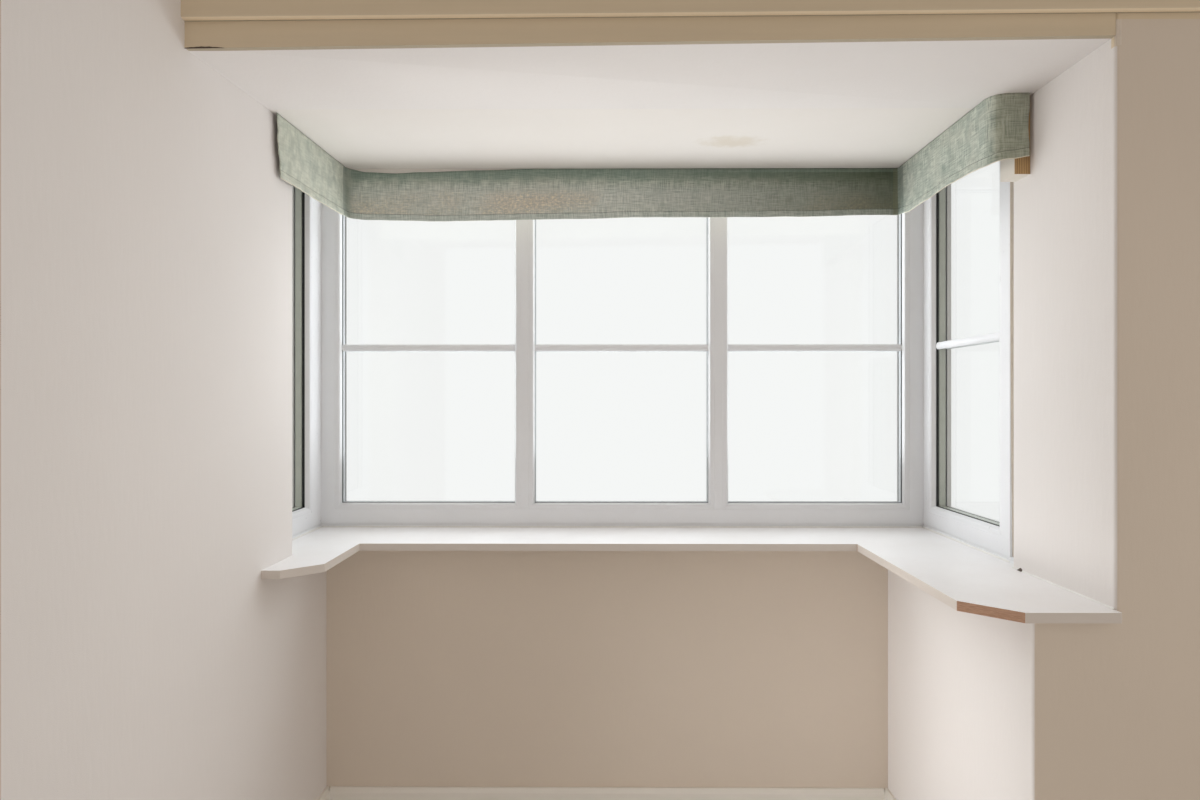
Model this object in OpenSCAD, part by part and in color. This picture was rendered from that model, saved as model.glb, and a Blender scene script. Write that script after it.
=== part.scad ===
// Square bay window: white plastic frames on dwarf walls, the window board, the plastered
// opening in the house wall, a flat roof and a fabric pelmet round three sides.
// Millimetres. Seen from the room, X runs to the right, Y out of the house and Z up.
// The origin is at ground level, below the middle of the front window's room face.

/* [Bay] */
// Width between the room faces of the two side windows
bay_w = 2106; // [1800:2:2500]
// From the front window's room face back to the house wall's room face
bay_d = 1095; // [1060:5:1250]
// Height of the window board's top above the ground
board_z = 950; // [750:5:1050]
// Height of the bay's ceiling above the ground
ceiling_z = 2173; // [2050:1:2400]

/* [House wall] */
// Thickness of the house wall with its plaster
house_wall_t = 430; // [330:5:450]
// Half width of the piece of house wall that carries the bay
wall_half = 1340; // [1300:10:1600]
// Length of the room's side wall that runs on from the bay's left side
side_wall_run = 520; // [200:10:800]
// Height of the house wall above the band over the opening
upper_wall_h = 230; // [180:5:600]
// How far the right plaster reveal stands in from the side window's room face
right_reveal_in = 27; // [10:1:60]
// Length of the left cheek wall beyond the house wall
left_cheek_run = 166; // [100:2:260]
// Radius of the plaster at outside corners
arris_r = 8; // [2:1:15]

/* [Header] */
// Height of the painted band over the opening, above the bay's ceiling
band_h = 47; // [35:1:90]
// How far the old band sags below the ceiling at its left end
band_sag_left = 25; // [0:1:30]
// How far the old band sags below the ceiling at its right end
band_sag_right = 3; // [0:1:30]
// How far the boxed beam stands out from the house wall into the room
beam_out = 16; // [8:1:60]
// How far the beam's lower edge hangs over the band at its left end
beam_lap_left = 15; // [0:1:20]
// How far the beam's lower edge hangs over the band at its right end
beam_lap_right = 1; // [0:1:20]
// Radius of the beam's lower edge
beam_edge_r = 6; // [2:1:8]

/* [Dwarf walls] */
// Depth of the ledge between the front window and the wall face below the board
front_ledge = 224; // [150:2:300]
// Depth of the ledge beside the left window
left_ledge = 96; // [60:1:160]
// Depth of the ledge beside the right window
right_ledge = 202; // [120:1:260]
// How far the outer wall faces stand out beyond the frames
wall_proud = 10; // [0:1:30]

/* [Window frames] */
// Depth of the frames from the room face to the outside face
frame_d = 70; // [60:1:90]
// Height of the frames' top above the bay's ceiling, which covers it
head_up = 30; // [16:1:44]
// Width of the frames' flat face, the same all round
frame_face = 48; // [36:1:70]
// Width of the flat face of the two mullions
mullion_face = 30; // [24:1:60]
// Visible width of the glazing beads, and of the fixed lip outside
bead_w = 20; // [16:1:24]
// Width of the flat part of a bead, next to the frame
bead_flat = 12; // [8:1:12]
// How far a bead steps back between its flat part and its rounded tip
bead_step = 1.5; // [0.5:0.5:3]
// Depth of the square edge of a bead where it meets the glass
bead_edge = 10; // [6:1:14]
// Thickness of the fixed lip outside the glass
lip_t = 18; // [12:1:20]
// Thickness of the double glazing
glass_t = 28; // [20:1:30]
// Room left round each glass unit inside its rebate
glass_play = 4; // [2:1:6]
// Run of the post between the left window and the front window's room face
left_post_run = 42; // [20:1:140]
// Width of the closing strip between the house wall and the right window
closer_run = 67; // [30:1:100]
// How far the closing strip is set back from the window's room face
closer_back = 17; // [5:1:30]

/* [Outer sills] */
// Height of the sill's upstand above the window board, which the frames stand on
sill_up = 16; // [10:1:30]
// Height of the upstand's lower lip, flush with the frames' room face
sill_lip = 7; // [3:1:8]
// How far the upstand is set back above its lower lip
sill_back = 3; // [1:1:6]
// How far the outer sills stand out beyond the frames
sill_out = 62; // [35:1:90]
// Fall of the sill's top from the frame to its nose
sill_fall = 16; // [8:1:22]
// How far the sill's nose hangs below the sill's underside
nose_drop = 12; // [4:1:20]
// Thickness of the sill's nose
nose_t = 9; // [5:1:12]

/* [Window board] */
// Thickness of the board
board_t = 22; // [18:1:32]
// How far the board reaches into the room beyond the front dwarf wall
board_front_over = 95; // [20:1:140]
// How far the board reaches into the room beyond the left wall
board_left_over = 136; // [60:1:180]
// How far the board reaches into the room beyond the right dwarf wall
board_right_over = 128; // [60:1:180]
// Length of the board past the left cheek's corner towards the room
board_left_run = 215; // [110:5:300]
// Size of the clipped corner at the board's left end
left_clip = 86; // [20:1:100]
// Size of the clipped corner at the board's right end
right_clip = 100; // [20:1:120]
// How far the board's right end stands out from the house wall
board_horn = 23; // [10:1:40]

/* [Skirting] */
// Height of the skirting
skirting_h = 150; // [90:5:220]
// Thickness of the skirting
skirting_t = 15; // [12:1:25]

/* [Roof] */
// Thickness of the ceiling board
ceiling_t = 12; // [9:1:16]
// Height of the roof at the house wall, above the bay's ceiling
roof_h = 177; // [120:1:200]
// Fall of the roof from the house wall to its front edge
roof_fall = 28; // [10:1:50]
// How far the roof reaches out beyond the frames
roof_over = 20; // [12:1:120]
// Thickness of the fascia boards
fascia_t = 18; // [12:1:25]
// How far the fascia boards hang below the roof's underside
fascia_drip = 23; // [5:1:40]
// Thickness of the roof covering
cover_t = 8; // [4:1:12]
// How far the roof covering reaches beyond the fascia boards
cover_over = 14; // [8:1:30]
// Height of the covering's turned-down edge
drip_h = 36; // [15:1:60]
// Height of the lead flashing on the house wall
flashing_up = 75; // [40:1:80]
// Width of the lead flashing on the roof
flashing_down = 120; // [60:1:180]
// Thickness of the lead, as dressed
lead_t = 4; // [3:1:6]

/* [Pelmet] */
// Drop of the fabric from the ceiling
pelmet_drop = 170; // [100:5:260]
// Thickness of the solid that stands for the fabric
cloth_t = 5; // [3:1:8]
// From the front window's room face to the fabric
pelmet_front_gap = 120; // [90:5:200]
// From the side windows' room faces to the fabric
pelmet_side_gap = 133; // [115:1:200]
// How far the left end of the fabric drifts towards the wall
pelmet_left_drift = 22; // [0:1:30]
// From the house wall's room face to the left end of the fabric
pelmet_left_start = 446; // [200:2:560]
// From the house wall's room face to the right end of the fabric
pelmet_right_start = 320; // [220:2:340]
// Gap between the right end of the fabric and the plaster reveal
pelmet_end_gap = 11; // [4:1:20]
// Radius of the fabric's bend at the right end
pelmet_bend_r = 55; // [20:1:60]
// Radius of the fabric at the two front corners
pelmet_corner_r = 30; // [10:1:60]
// Width of the battens behind the fabric
batten_w = 38; // [25:1:38]
// Height of the battens behind the fabric
batten_h = 25; // [18:1:45]
// Width of the wooden end block
block_w = 40; // [25:1:44]
// Length of the wooden end block along the reveal
block_run = 74; // [40:1:90]
// Height of the wooden end block
block_h = 201; // [120:1:280]
// Clearance between the wooden end block and the fabric's end
block_gap = 16; // [6:1:30]

/* [Hidden] */

// Steps in each rounded corner of an outline
arc_steps = 6;
// Small overshoot for cutting tools
over = 1;

// Plan lines of the windows and walls
win_x = bay_w / 2;
out_x = win_x + frame_d + wall_proud;
out_y = frame_d + wall_proud;
left_wall_x = -win_x + left_ledge;
right_wall_x = win_x - right_ledge;
front_wall_y = -front_ledge;
reveal_x = win_x - right_reveal_in;
room_y = -bay_d;
house_out_y = room_y + house_wall_t;
cheek_y = house_out_y + left_cheek_run;
side_end_y = room_y - side_wall_run;

// Heights
dwarf_z = board_z - board_t;
band_z = ceiling_z + band_h;
wall_top_z = band_z + upper_wall_h;
frame_z = board_z + sill_up;
head_z = ceiling_z + head_up;
frame_h = head_z - frame_z;

// Ends of the side windows
left_near_y = cheek_y;
left_far_y = -left_post_run;
right_near_y = house_out_y + closer_run;
right_far_y = 0;

// Sizes within the frame section
sight = frame_face + bead_w;
mullion_w = mullion_face + 2 * bead_w;
rebate_d = frame_d - lip_t;
glass_y = rebate_d - glass_t;
bead_set = 1;
bead_joint = 0.4;
edge_r = 1.5;

// Roof lines
roof_x = win_x + frame_d + roof_over;
roof_y = frame_d + roof_over;
roof_run = roof_y - house_out_y;
roof_top_z = ceiling_z + roof_h;
roof_slope = roof_fall / roof_run;

// Pelmet lines
cloth_x = win_x - pelmet_side_gap;
cloth_y = -pelmet_front_gap;
cloth_seat = 0.4;

// Colours
plaster = [0.87, 0.84, 0.80];
render_paint = [0.86, 0.84, 0.80];
plastic = [0.93, 0.93, 0.94];
lead = [0.45, 0.47, 0.49];
felt = [0.30, 0.31, 0.32];
linen = [0.60, 0.64, 0.58];
timber = [0.70, 0.56, 0.38];
glass = [0.80, 0.88, 0.88, 0.35];

function unit(v) = v / norm(v);
function flat(p) = [p[0], p[1]];
function corner_radius(p) = len(p) > 2 ? p[2] : 0;

// The points of one corner of an outline, at b between a and c
function corner_arc(a, b, c) =
    corner_radius(b) == 0 ? [flat(b)] :
    let (
        p = flat(b),
        u = unit(flat(a) - p),
        v = unit(flat(c) - p),
        half = acos(u * v) / 2,
        middle = p + unit(u + v) * b[2] / sin(half),
        from = p + u * b[2] / tan(half) - middle,
        to = p + v * b[2] / tan(half) - middle,
        start = atan2(from[1], from[0]),
        turn = (atan2(to[1], to[0]) - start + 540) % 360 - 180
    )
    [for (i = [0 : arc_steps])
        middle + b[2] * [cos(start + turn * i / arc_steps), sin(start + turn * i / arc_steps)]];

// An outline of [x, y, radius] points with its corners rounded
function rounded(points) =
    let (n = len(points))
    [for (i = [0 : n - 1])
        each corner_arc(points[(i + n - 1) % n], points[i], points[(i + 1) % n])];

// The outline of a strip of thickness t on the left side of an open path
function strip(path, t) =
    let (
        last = len(path) - 1,
        side = [for (i = [0 : last])
            let (d = unit(path[min(i + 1, last)] - path[max(i - 1, 0)]))
            path[i] + t * [-d[1], d[0]]]
    )
    concat(path, [for (i = [last : -1 : 0]) side[i]]);

// A section in Y and Z, drawn out along X from x0 to x1
module along_x(x0, x1) {
    translate([x0, 0, 0]) rotate([90, 0, 90]) linear_extrude(x1 - x0) children();
}

// An outline in X and Z, drawn out along Y from y0 to y1
module along_y(y0, y1) {
    translate([0, y1, 0]) rotate([90, 0, 0]) linear_extrude(y1 - y0) children();
}

// An outline in X and Y, drawn up from z0 to z1
module along_z(z0, z1) {
    translate([0, 0, z0]) linear_extrude(z1 - z0) children();
}

// A plain block between two corners
module block(a, b) {
    translate(a) cube(b - a);
}

// Each window is drawn along X from its left end, with its room face at Y = 0
module at_front() {
    translate([-win_x, 0, 0]) children();
}
module at_left() {
    translate([-win_x, left_near_y, 0]) rotate([0, 0, 90]) children();
}
module at_right() {
    translate([win_x, right_near_y, 0]) mirror([1, -1, 0]) children();
}
left_w = left_far_y - left_near_y;
right_w = right_far_y - right_near_y;

// Walls

module front_dwarf_wall() {
    color(plaster)
        block([left_wall_x, front_wall_y, 0], [right_wall_x, out_y, dwarf_z]);
}

module left_dwarf_wall() {
    color(render_paint) along_z(0, dwarf_z)
        polygon(rounded([
            [-out_x, cheek_y], [left_wall_x, cheek_y],
            [left_wall_x, out_y], [-out_x, out_y, arris_r]
        ]));
}

module right_dwarf_wall() {
    color(render_paint) along_z(0, dwarf_z)
        polygon(rounded([
            [right_wall_x, house_out_y], [out_x, house_out_y],
            [out_x, out_y, arris_r], [right_wall_x, out_y]
        ]));
}

module left_house_wall() {
    color(plaster)
        block([-wall_half, room_y, 0], [left_wall_x, house_out_y, band_z]);
}

// Below the board the wall reaches in under it, and above it the reveal steps back
module right_house_wall() {
    color(plaster) {
        along_z(0, dwarf_z)
            polygon(rounded([
                [right_wall_x, room_y, arris_r], [wall_half, room_y],
                [wall_half, house_out_y], [right_wall_x, house_out_y]
            ]));
        along_z(dwarf_z, band_z)
            polygon(rounded([
                [reveal_x, room_y, arris_r], [wall_half, room_y],
                [wall_half, house_out_y], [reveal_x, house_out_y, arris_r]
            ]));
    }
}

module left_side_wall() {
    color(plaster)
        block([-out_x, side_end_y, 0], [left_wall_x, room_y, wall_top_z]);
}

module left_cheek_wall() {
    color(plaster) {
        block([-out_x, house_out_y, 0], [left_wall_x, cheek_y, dwarf_z]);
        along_z(dwarf_z, head_z)
            polygon(rounded([
                [-out_x, house_out_y], [left_wall_x, house_out_y],
                [left_wall_x, cheek_y, arris_r], [-out_x, cheek_y]
            ]));
    }
}

module upper_wall() {
    color(plaster)
        block([-wall_half, room_y, band_z], [wall_half, house_out_y, wall_top_z]);
}

// Header

// The band's underside is level at the bay and sags along its room edge
module header_band() {
    soffit_l = ceiling_z - band_sag_left;
    soffit_r = ceiling_z - band_sag_right;
    color(plaster)
        polyhedron(
            points = [
                [left_wall_x, room_y, soffit_l], [reveal_x, room_y, soffit_r],
                [reveal_x, house_out_y, ceiling_z], [left_wall_x, house_out_y, ceiling_z],
                [left_wall_x, room_y, band_z], [reveal_x, room_y, band_z],
                [reveal_x, house_out_y, band_z], [left_wall_x, house_out_y, band_z]
            ],
            faces = [
                [0, 1, 2], [0, 2, 3], [4, 7, 6, 5], [0, 4, 5, 1],
                [1, 5, 6, 2], [2, 6, 7, 3], [3, 7, 4, 0]
            ]
        );
}

// The boxed beam has a rounded lower edge, which runs slightly out of level over the band
module header_beam() {
    run = wall_half - left_wall_x;
    tilt = atan((beam_lap_left - beam_lap_right) / run);
    rise = wall_top_z - band_z;
    face_y = room_y - beam_out;
    color(plaster) intersection() {
        translate([left_wall_x, 0, band_z - beam_lap_left]) rotate([0, -tilt, 0])
            along_x(-beam_lap_left, run + beam_lap_left)
                polygon(rounded([
                    [room_y, 0], [room_y, 2 * rise], [face_y, 2 * rise], [face_y, 0, beam_edge_r]
                ]));
        block([left_wall_x, face_y, band_z - beam_lap_left - over],
              [wall_half, room_y, wall_top_z]);
    }
}

// Ceiling and roof

// The bay's plan inside its windows, round the left cheek wall and up to the closing strip
module inside_plan() {
    strip_x = win_x + closer_back;
    polygon([
        [left_wall_x, house_out_y], [strip_x, house_out_y], [strip_x, right_near_y],
        [win_x, right_near_y], [win_x, 0], [-win_x, 0], [-win_x, cheek_y],
        [left_wall_x, cheek_y]
    ]);
}

module bay_ceiling() {
    color(plaster) along_z(ceiling_z, ceiling_z + ceiling_t) inside_plan();
}

// Height of the roof's top at a distance out from the house wall
function roof_z(y) = roof_top_z - roof_slope * (y - house_out_y);

module roof_deck() {
    color(timber) {
        along_x(-roof_x, roof_x)
            polygon([
                [house_out_y, head_z], [roof_y, head_z],
                [roof_y, roof_z(roof_y)], [house_out_y, roof_z(house_out_y)]
            ]);
        along_z(ceiling_z + ceiling_t, head_z) inside_plan();
    }
}

module front_fascia() {
    color(plastic)
        along_x(-roof_x - fascia_t, roof_x + fascia_t)
            polygon(rounded([
                [roof_y, head_z - fascia_drip], [roof_y + fascia_t, head_z - fascia_drip, 3],
                [roof_y + fascia_t, roof_z(roof_y + fascia_t)], [roof_y, roof_z(roof_y)]
            ]));
}

module side_fascia() {
    along_x(roof_x, roof_x + fascia_t)
        polygon([
            [house_out_y, head_z - fascia_drip], [roof_y, head_z - fascia_drip],
            [roof_y, roof_z(roof_y)], [house_out_y, roof_z(house_out_y)]
        ]);
}

module left_fascia() {
    color(plastic) mirror([1, 0, 0]) side_fascia();
}

module right_fascia() {
    color(plastic) side_fascia();
}

// Section of the sloping sheet from the wall to an outer edge
module cover_sheet(y1) {
    polygon([
        [house_out_y, roof_z(house_out_y)], [y1, roof_z(y1)],
        [y1, roof_z(y1) + cover_t], [house_out_y, roof_z(house_out_y) + cover_t]
    ]);
}

module roof_covering() {
    edge_x = roof_x + fascia_t + cover_over;
    edge_y = roof_y + fascia_t + cover_over;
    color(felt) {
        along_x(-edge_x, edge_x) cover_sheet(edge_y);
        along_x(-edge_x, edge_x)
            polygon([
                [edge_y - cover_t, roof_z(edge_y) - drip_h], [edge_y, roof_z(edge_y) - drip_h],
                [edge_y, roof_z(edge_y) + cover_t], [edge_y - cover_t, roof_z(edge_y) + cover_t]
            ]);
        for (s = [-1, 1])
            along_x(s > 0 ? edge_x - cover_t : -edge_x, s > 0 ? edge_x : -edge_x + cover_t)
                polygon([
                    [house_out_y, roof_z(house_out_y) - drip_h],
                    [edge_y, roof_z(edge_y) - drip_h],
                    [edge_y, roof_z(edge_y) + cover_t],
                    [house_out_y, roof_z(house_out_y) + cover_t]
                ]);
    }
}

module roof_flashing() {
    edge_x = roof_x + fascia_t + cover_over;
    low_y = house_out_y + flashing_down;
    base = roof_z(house_out_y) + cover_t;
    color(lead) along_x(-edge_x, edge_x)
        polygon([
            [house_out_y, base], [low_y, roof_z(low_y) + cover_t],
            [low_y, roof_z(low_y) + cover_t + lead_t],
            [house_out_y + lead_t, base + 2 * lead_t],
            [house_out_y + lead_t, base + flashing_up], [house_out_y, base + flashing_up]
        ]);
}

// Window board

module window_board() {
    nose_l = left_wall_x + board_left_over;
    nose_r = right_wall_x - board_right_over;
    nose_y = front_wall_y - board_front_over;
    left_y = cheek_y - board_left_run;
    right_y = room_y - board_horn;
    tip = 3;
    color(plastic) along_z(dwarf_z, board_z)
        polygon(rounded([
            [left_wall_x, left_y], [nose_l - left_clip, left_y, tip],
            [nose_l, left_y + left_clip, tip], [nose_l, nose_y, tip],
            [nose_r, nose_y, tip], [nose_r, right_y + right_clip, tip],
            [nose_r + right_clip, right_y, tip], [reveal_x, right_y, tip],
            [reveal_x, house_out_y], [win_x, house_out_y],
            [win_x, 0], [-win_x, 0], [-win_x, cheek_y], [left_wall_x, cheek_y]
        ]));
}

// Outer sills

// The sill's section, from the frame's room face outwards
module sill_section() {
    nose = frame_d + sill_out;
    lip_z = board_z + sill_lip;
    polygon(rounded([
        [0, dwarf_z], [0, lip_z, 1.5], [sill_back, lip_z + sill_back / 2],
        [sill_back, frame_z], [frame_d + 1, frame_z],
        [nose, frame_z - sill_fall, 4], [nose, dwarf_z - nose_drop, 2],
        [nose - nose_t, dwarf_z - nose_drop], [nose - nose_t, dwarf_z]
    ]));
}

module front_sill() {
    reach = frame_d + sill_out;
    color(plastic) intersection() {
        along_x(-win_x - reach, win_x + reach) sill_section();
        along_z(dwarf_z - nose_drop, frame_z)
            polygon([
                [-win_x, 0], [-win_x - reach, reach], [win_x + reach, reach], [win_x, 0]
            ]);
    }
}

// A side sill along X, from its near end to the mitre at its far end
module side_sill(run) {
    reach = frame_d + sill_out;
    intersection() {
        along_x(0, run + reach) sill_section();
        along_z(dwarf_z - nose_drop, frame_z)
            polygon([[0, 0], [run, 0], [run + reach, reach], [0, reach]]);
    }
}

module left_sill() {
    color(plastic) translate([-win_x, cheek_y, 0]) rotate([0, 0, 90]) side_sill(-cheek_y);
}

module right_sill() {
    color(plastic) translate([win_x, house_out_y, 0]) mirror([1, -1, 0])
        side_sill(-house_out_y);
}

// Posts

module left_corner_post() {
    color(plastic) along_z(frame_z, head_z)
        polygon(rounded([
            [-win_x - frame_d, -left_post_run], [-win_x, -left_post_run],
            [-win_x, frame_d], [-win_x - frame_d, frame_d, 3]
        ]));
}

module right_corner_post() {
    color(plastic) along_z(frame_z, head_z)
        polygon(rounded([
            [win_x, right_far_y], [win_x + frame_d, right_far_y],
            [win_x + frame_d, frame_d, 3], [win_x, frame_d]
        ]));
}

module right_closing_strip() {
    color(plastic)
        block([win_x + closer_back, house_out_y, frame_z],
              [win_x + frame_d, right_near_y, head_z]);
}

// Frames

// Section of a frame member in Y and Z: flat room face, glazing rebate and fixed outer lip
module frame_section() {
    polygon(rounded([
        [0, 0], [frame_d, 0], [frame_d, sight, 5], [rebate_d, sight],
        [rebate_d, frame_face], [0, frame_face, edge_r]
    ]));
}

// A frame member along X from 0 to run, rising in Z, with its ends cut to 45 degree mitres
module member(run) {
    intersection() {
        along_x(0, run) frame_section();
        along_y(0, frame_d)
            polygon([[0, 0], [run, 0], [run - sight, sight], [sight, sight]]);
    }
}

// Turns a member or bead to stand upright, with its outer edge at X = 0
module stand() {
    mirror([1, 0, -1]) children();
}

module bottom_rail(w) {
    translate([0, 0, frame_z]) member(w);
}

module head_rail(w) {
    translate([0, 0, head_z]) mirror([0, 0, 1]) member(w);
}

module jambs(w) {
    translate([0, 0, frame_z]) stand() member(frame_h);
    translate([w, 0, frame_z]) mirror([1, 0, 0]) stand() member(frame_h);
}

// A mullion between two X lines, notched over the rails' fixed lips
module mullion(x0, x1) {
    along_z(frame_z + frame_face, head_z - frame_face)
        polygon(rounded([
            [x0, 0, edge_r], [x0, rebate_d], [x1, rebate_d], [x1, 0, edge_r]
        ]));
    along_z(frame_z + sight, head_z - sight)
        polygon(rounded([
            [x0 - bead_w, rebate_d], [x0 - bead_w, frame_d, 5],
            [x1 + bead_w, frame_d, 5], [x1 + bead_w, rebate_d]
        ]));
}

// Clear width of each light when a window of width w has so many lights
function light_w(w, lights) = (w - 2 * sight - (lights - 1) * mullion_w) / lights;
function light_x(w, lights, i) = sight + i * (light_w(w, lights) + mullion_w);
front_lights = 3;

module front_head_rail() {
    color(plastic) at_front() head_rail(bay_w);
}

module front_bottom_rail() {
    color(plastic) at_front() bottom_rail(bay_w);
}

module front_jambs() {
    color(plastic) at_front() jambs(bay_w);
}

module front_mullions() {
    color(plastic) at_front()
        for (i = [1 : front_lights - 1]) {
            x = light_x(bay_w, front_lights, i) - bead_w;
            mullion(x - mullion_face, x);
        }
}

module left_rails() {
    color(plastic) at_left() {
        head_rail(left_w);
        bottom_rail(left_w);
    }
}

module left_jambs() {
    color(plastic) at_left() jambs(left_w);
}

module right_rails() {
    color(plastic) at_right() {
        head_rail(right_w);
        bottom_rail(right_w);
    }
}

module right_jambs() {
    color(plastic) at_right() jambs(right_w);
}

// Glass and beads

// One double-glazed unit behind light i
module pane(w, lights, i) {
    grow = bead_w - glass_play;
    x0 = light_x(w, lights, i) - grow;
    x1 = light_x(w, lights, i) + light_w(w, lights) + grow;
    block([x0, glass_y, frame_z + sight - grow],
          [x1, rebate_d, head_z - sight + grow]);
}

module front_left_glass() {
    color(glass) at_front() pane(bay_w, front_lights, 0);
}

module front_middle_glass() {
    color(glass) at_front() pane(bay_w, front_lights, 1);
}

module front_right_glass() {
    color(glass) at_front() pane(bay_w, front_lights, 2);
}

module left_glass() {
    color(glass) at_left() pane(left_w, 1, 0);
}

module right_glass() {
    color(glass) at_right() pane(right_w, 1, 0);
}

// Section of a bead in Y and Z: a flat, a small step back, and a rounded slope to the glass
module bead_section() {
    step_y = bead_set + bead_step;
    polygon(rounded([
        [bead_set, 0, 0.6], [glass_y, 0], [glass_y, bead_w],
        [glass_y - bead_edge, bead_w, 1], [step_y, bead_flat + 3, 2],
        [step_y, bead_flat], [bead_set, bead_flat, 0.4]
    ]));
}

// A bead along X from 0 to run, rising in Z, with its ends cut to 45 degree mitres
module bead(run) {
    j = bead_joint;
    intersection() {
        along_x(0, run) bead_section();
        along_y(0, glass_y)
            polygon([[j, 0], [run - j, 0], [run - bead_w - j, bead_w], [bead_w + j, bead_w]]);
    }
}

// The four beads of light i
module bead_set_of(w, lights, i) {
    x0 = light_x(w, lights, i) - bead_w;
    run = light_w(w, lights) + 2 * bead_w;
    z0 = frame_z + frame_face;
    rise = frame_h - 2 * frame_face;
    translate([x0, 0, z0]) bead(run);
    translate([x0, 0, z0 + rise]) mirror([0, 0, 1]) bead(run);
    translate([x0, 0, z0]) stand() bead(rise);
    translate([x0 + run, 0, z0]) mirror([1, 0, 0]) stand() bead(rise);
}

module front_beads() {
    color(plastic) at_front()
        for (i = [0 : front_lights - 1])
            bead_set_of(bay_w, front_lights, i);
}

module left_beads() {
    color(plastic) at_left() bead_set_of(left_w, 1, 0);
}

module right_beads() {
    color(plastic) at_right() bead_set_of(right_w, 1, 0);
}

// Skirting

// Skirting section: out from the wall, and up
module skirting_section() {
    polygon(rounded([
        [0, 0], [0, skirting_h], [skirting_t / 2, skirting_h, 3],
        [skirting_t, skirting_h - 14, 4], [skirting_t, 0]
    ]));
}

// A length of skirting along X on a wall face at Y = 0, standing towards -Y
module skirting(run) {
    rotate([90, 0, 90]) linear_extrude(run) mirror([1, 0]) skirting_section();
}

module front_skirting() {
    color(plastic) translate([left_wall_x + skirting_t, front_wall_y, 0])
        skirting(right_wall_x - left_wall_x - 2 * skirting_t);
}

module left_skirting() {
    color(plastic) translate([left_wall_x, side_end_y, 0]) rotate([0, 0, 90])
        skirting(front_wall_y - side_end_y);
}

module right_skirting() {
    reach = skirting_t;
    color(plastic) {
        intersection() {
            translate([right_wall_x, front_wall_y, 0]) rotate([0, 0, -90])
                skirting(front_wall_y - room_y + reach);
            along_z(0, skirting_h)
                polygon([
                    [right_wall_x, front_wall_y], [right_wall_x - reach, front_wall_y],
                    [right_wall_x - reach, room_y - reach], [right_wall_x, room_y]
                ]);
        }
        intersection() {
            translate([right_wall_x - reach, room_y, 0])
                skirting(wall_half - right_wall_x + reach);
            along_z(0, skirting_h)
                polygon([
                    [right_wall_x, room_y], [right_wall_x - reach, room_y - reach],
                    [wall_half, room_y - reach], [wall_half, room_y]
                ]);
        }
    }
}

// Pelmet

// Plan line of the fabric's room side, from its right end round to its left end
pelmet_path = rounded([
    [reveal_x - pelmet_end_gap, room_y + pelmet_right_start],
    [cloth_x, room_y + pelmet_right_start, pelmet_bend_r],
    [cloth_x, cloth_y, pelmet_corner_r],
    [-cloth_x, cloth_y, pelmet_corner_r],
    [-cloth_x - pelmet_left_drift, room_y + pelmet_left_start]
]);

module pelmet() {
    color(linen) along_z(ceiling_z - pelmet_drop, ceiling_z - cloth_seat)
        polygon(strip(pelmet_path, -cloth_t));
}

module pelmet_battens() {
    z0 = ceiling_z - batten_h;
    front_y = cloth_y + cloth_t + cloth_seat;
    right_x = cloth_x + cloth_t + cloth_seat;
    left_x = -cloth_x - cloth_t - pelmet_left_drift;
    joint = 0.3;
    color(timber) {
        block([left_x - batten_w, front_y, z0],
              [right_x + batten_w, front_y + batten_w, ceiling_z]);
        block([right_x, room_y + pelmet_right_start + pelmet_bend_r, z0],
              [right_x + batten_w, front_y - joint, ceiling_z]);
        block([left_x - batten_w, cheek_y + joint, z0],
              [left_x, front_y - joint, ceiling_z]);
    }
}

module pelmet_block() {
    y0 = room_y + pelmet_right_start + cloth_t + block_gap;
    color(timber) along_z(ceiling_z - block_h, ceiling_z - cloth_seat)
        polygon(rounded([
            [reveal_x - block_w, y0, 1.5], [reveal_x, y0],
            [reveal_x, y0 + block_run], [reveal_x - block_w, y0 + block_run, 1.5]
        ]));
}

front_dwarf_wall();
left_dwarf_wall();
right_dwarf_wall();
left_house_wall();
right_house_wall();
left_side_wall();
left_cheek_wall();
upper_wall();
header_band();
header_beam();
bay_ceiling();
roof_deck();
roof_covering();
roof_flashing();
front_fascia();
left_fascia();
right_fascia();
window_board();
front_sill();
left_sill();
right_sill();
left_corner_post();
right_corner_post();
right_closing_strip();
front_head_rail();
front_bottom_rail();
front_jambs();
front_mullions();
left_rails();
left_jambs();
right_rails();
right_jambs();
front_left_glass();
front_middle_glass();
front_right_glass();
left_glass();
right_glass();
front_beads();
left_beads();
right_beads();
front_skirting();
left_skirting();
right_skirting();
pelmet();
pelmet_battens();
pelmet_block();
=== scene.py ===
"""Looks for the bay window: materials, gaskets, glazing bars, the fabric pelmet and small trim."""
import math

import bmesh
import bpy
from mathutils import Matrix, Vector, noise


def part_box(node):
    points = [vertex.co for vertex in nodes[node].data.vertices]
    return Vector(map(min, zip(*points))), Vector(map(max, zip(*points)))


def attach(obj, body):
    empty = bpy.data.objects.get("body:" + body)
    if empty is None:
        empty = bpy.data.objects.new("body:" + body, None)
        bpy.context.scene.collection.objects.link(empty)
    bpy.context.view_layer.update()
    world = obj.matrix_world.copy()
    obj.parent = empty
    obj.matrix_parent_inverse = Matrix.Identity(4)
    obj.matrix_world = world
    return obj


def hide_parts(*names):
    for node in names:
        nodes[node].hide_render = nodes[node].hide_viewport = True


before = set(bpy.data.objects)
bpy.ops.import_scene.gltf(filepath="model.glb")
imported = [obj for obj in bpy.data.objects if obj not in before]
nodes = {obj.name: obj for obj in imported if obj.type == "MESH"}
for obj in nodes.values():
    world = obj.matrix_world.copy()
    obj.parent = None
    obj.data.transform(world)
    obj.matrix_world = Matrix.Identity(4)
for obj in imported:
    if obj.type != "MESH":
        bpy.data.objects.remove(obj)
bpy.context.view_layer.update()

# Camera, as it stood in the room
CAMERA_AT = Vector((-0.058, -2.800, 1.396))
CAMERA_LENS = 24.0
CAMERA_SENSOR = 36.0
CAMERA_YAW = math.radians(0.358)

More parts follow.
